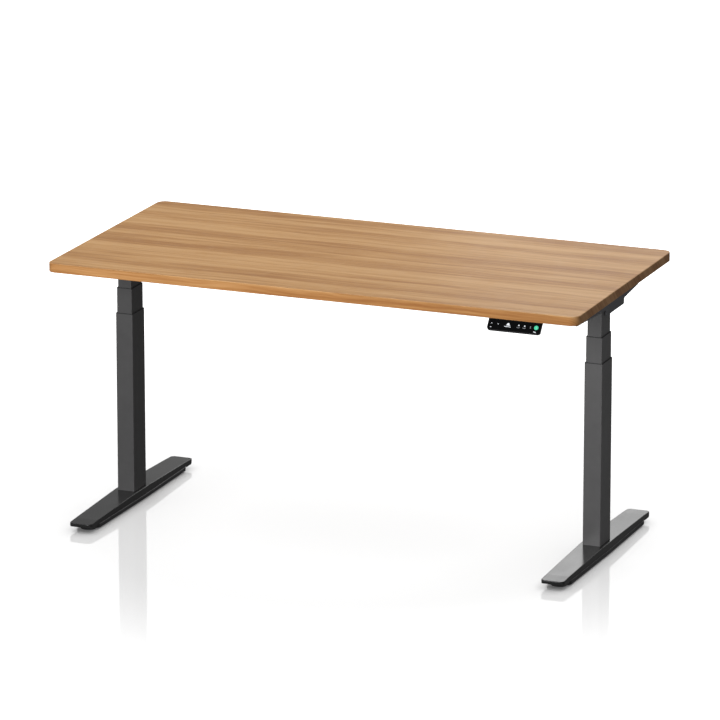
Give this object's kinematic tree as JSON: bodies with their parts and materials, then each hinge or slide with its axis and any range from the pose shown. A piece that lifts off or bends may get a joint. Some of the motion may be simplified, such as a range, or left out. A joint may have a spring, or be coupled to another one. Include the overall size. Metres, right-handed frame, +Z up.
{
  "type": "height adjustable standing desk",
  "caption": "Standing desk with a wood-grain top on two motorised telescopic columns, flat feet with levelling glides and a touch panel under the front edge.",
  "frame": {"origin": "on the floor, under the middle of the desktop", "axes": "+X along the desk to the seated user's right, -Y towards the user, +Z up"},
  "size_m": [1.5, 0.7659, 0.752],
  "materials": {
    "wood_laminate": "satin wood-grain laminate",
    "powder_coat": "fine matt powder coat",
    "zinc_steel": "bright zinc plate",
    "black_plastic": "moulded, fine grain",
    "cast_aluminium": "as cast",
    "motor_can": "drawn can, satin",
    "glide_rubber": "moulded pad on a steel stem",
    "circuit_board": "solder mask",
    "panel_glass": "polished black touch glass"
  },
  "bodies": {
    "base": {"foot_shell_left": "powder_coat", "foot_tray_left": "powder_coat", "foot_clamp_plate_left": "zinc_steel", "tube_end_block_left": "zinc_steel", "lower_tube_left": "powder_coat", "lower_collar_left": "black_plastic", "fixed_screw_left": "zinc_steel", "foot_shell_right": "powder_coat", "foot_tray_right": "powder_coat", "foot_clamp_plate_right": "zinc_steel", "tube_end_block_right": "zinc_steel", "lower_tube_right": "powder_coat", "lower_collar_right": "black_plastic", "fixed_screw_right": "zinc_steel", "foot_bolts": "zinc_steel", "levelling_nuts": "zinc_steel"},
    "middle_left": {"middle_tube_left": "powder_coat", "middle_collar_left": "black_plastic", "bearing_block_left": "black_plastic", "thrust_bearing_left": "zinc_steel"},
    "middle_right": {"middle_tube_right": "powder_coat", "middle_collar_right": "black_plastic", "bearing_block_right": "black_plastic", "thrust_bearing_right": "zinc_steel"},
    "top": {"upper_tube_left": "powder_coat", "lift_nut_left": "black_plastic", "gearbox_left": "cast_aluminium", "motor_left": "motor_can", "motor_cover_left": "black_plastic", "side_bracket_left": "powder_coat", "rail_sleeve_left": "powder_coat", "upper_tube_right": "powder_coat", "lift_nut_right": "black_plastic", "gearbox_right": "cast_aluminium", "motor_right": "motor_can", "motor_cover_right": "black_plastic", "side_bracket_right": "powder_coat", "rail_sleeve_right": "powder_coat", "desktop": "wood_laminate", "desktop_screws": "zinc_steel", "cross_rail_front": "powder_coat", "cross_rail_rear": "powder_coat", "rail_bolts": "zinc_steel", "rail_lock_screws": "zinc_steel", "control_box_plate": "powder_coat", "control_box_cover": "black_plastic", "control_board": "circuit_board", "mains_inlet": "black_plastic", "panel_housing": "black_plastic", "panel_glass": "panel_glass", "panel_board": "circuit_board", "panel_screws": "zinc_steel"},
    "drive_tube_left": {"drive_tube_left": "zinc_steel"},
    "hex_shaft_left": {"hex_shaft_left": "zinc_steel"},
    "glide_front_left": {"levelling_glide_front_left": "glide_rubber"},
    "glide_rear_left": {"levelling_glide_rear_left": "glide_rubber"},
    "drive_tube_right": {"drive_tube_right": "zinc_steel"},
    "hex_shaft_right": {"hex_shaft_right": "zinc_steel"},
    "glide_front_right": {"levelling_glide_front_right": "glide_rubber"},
    "glide_rear_right": {"levelling_glide_rear_right": "glide_rubber"}
  },
  "joints": [
    {"name": "lift", "type": "slide", "parent": "base", "child": "middle_left", "axis": [0, 0, 1], "range_m": [-0.05, 0.275]},
    {"name": "lift_upper", "type": "slide", "parent": "middle_left", "child": "top", "axis": [0, 0, 1], "range_m": [-0.05, 0.275]},
    {"name": "lift_right", "type": "slide", "parent": "base", "child": "middle_right", "axis": [0, 0, 1], "range_m": [-0.05, 0.275]},
    {"name": "drive_turn_left", "type": "hinge", "parent": "middle_left", "child": "drive_tube_left", "pos_m": [-0.676, 0, 0.35], "axis": [0, 0, 1], "range_deg": [-1805, 9905]},
    {"name": "hex_turn_left", "type": "hinge", "parent": "top", "child": "hex_shaft_left", "pos_m": [-0.676, 0, 0.5], "axis": [0, 0, 1], "range_deg": [-1805, 9905]},
    {"name": "drive_turn_right", "type": "hinge", "parent": "middle_right", "child": "drive_tube_right", "pos_m": [0.676, 0, 0.35], "axis": [0, 0, 1], "range_deg": [-1805, 9905]},
    {"name": "hex_turn_right", "type": "hinge", "parent": "top", "child": "hex_shaft_right", "pos_m": [0.676, 0, 0.5], "axis": [0, 0, 1], "range_deg": [-1805, 9905]},
    {"name": "glide_front_left", "type": "slide", "parent": "base", "child": "glide_front_left", "axis": [0, 0, -1], "range_m": [0, 0.008]},
    {"name": "glide_rear_left", "type": "slide", "parent": "base", "child": "glide_rear_left", "axis": [0, 0, -1], "range_m": [0, 0.008]},
    {"name": "glide_front_right", "type": "slide", "parent": "base", "child": "glide_front_right", "axis": [0, 0, -1], "range_m": [0, 0.008]},
    {"name": "glide_rear_right", "type": "slide", "parent": "base", "child": "glide_rear_right", "axis": [0, 0, -1], "range_m": [0, 0.008]}
  ],
  "couplings": [
    {"joint": "lift_upper", "follows": "lift", "ratio": 1},
    {"joint": "lift_right", "follows": "lift", "ratio": 1},
    {"joint": "drive_turn_left", "follows": "lift", "rad_per_m": 628.32},
    {"joint": "hex_turn_left", "follows": "lift", "rad_per_m": 628.32},
    {"joint": "drive_turn_right", "follows": "lift", "rad_per_m": 628.32},
    {"joint": "hex_turn_right", "follows": "lift", "rad_per_m": 628.32}
  ]
}
